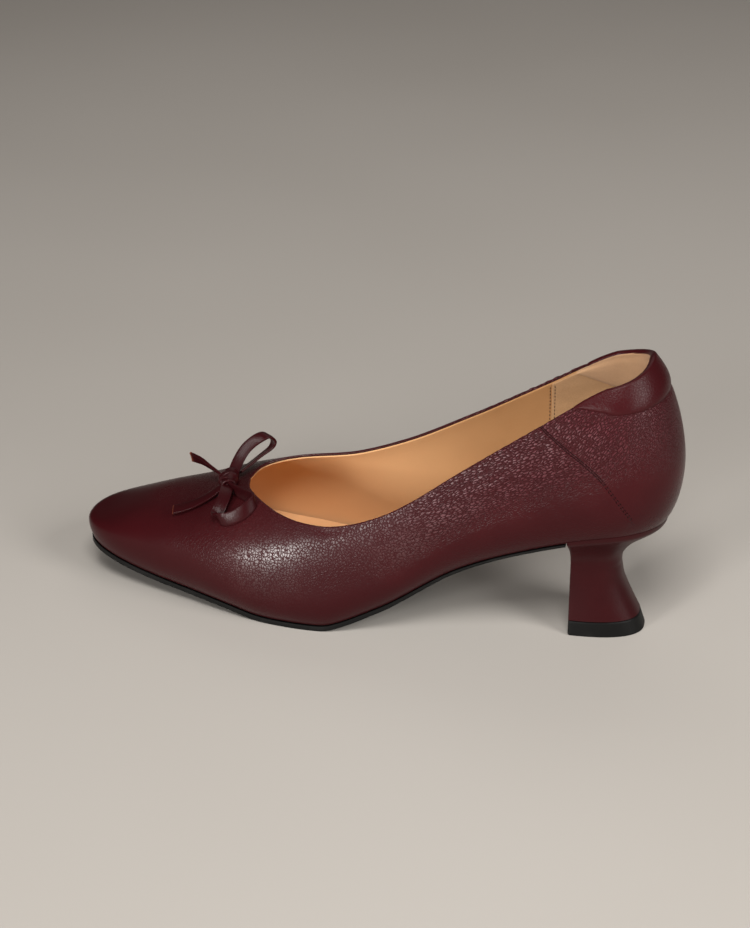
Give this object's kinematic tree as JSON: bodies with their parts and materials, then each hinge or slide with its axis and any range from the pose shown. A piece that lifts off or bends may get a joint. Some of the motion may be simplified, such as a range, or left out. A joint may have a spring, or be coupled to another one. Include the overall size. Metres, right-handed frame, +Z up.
{
  "type": "block heel shoe",
  "caption": "Women's pump for the left foot with a low-cut vamp, narrow ribbon bow, padded heel collar and a waisted, flared block heel.",
  "frame": {"origin": "on the floor under the middle of the shoe's box", "axes": "+X to the toe, +Y to the outer (left) side of the foot, +Z up"},
  "size_m": [0.246, 0.079, 0.118],
  "materials": {
    "upper_leather": "burgundy grain leather, satin",
    "bow_leather": "burgundy leather ribbon, satin",
    "heel_leather": "smooth burgundy leather wrap, satin",
    "sock_leather": "tan sock leather, matte",
    "sole_rubber": "black, matte"
  },
  "bodies": {
    "root": {"upper": "upper_leather", "heel_tab": "upper_leather", "bow_knot": "bow_leather", "bow_loop_lateral": "bow_leather", "bow_loop_medial": "bow_leather", "bow_tail_lateral": "bow_leather", "bow_tail_medial": "bow_leather", "insole": "sock_leather", "outsole": "sole_rubber", "heel": "heel_leather", "top_lift": "sole_rubber"}
  },
  "joints": []
}
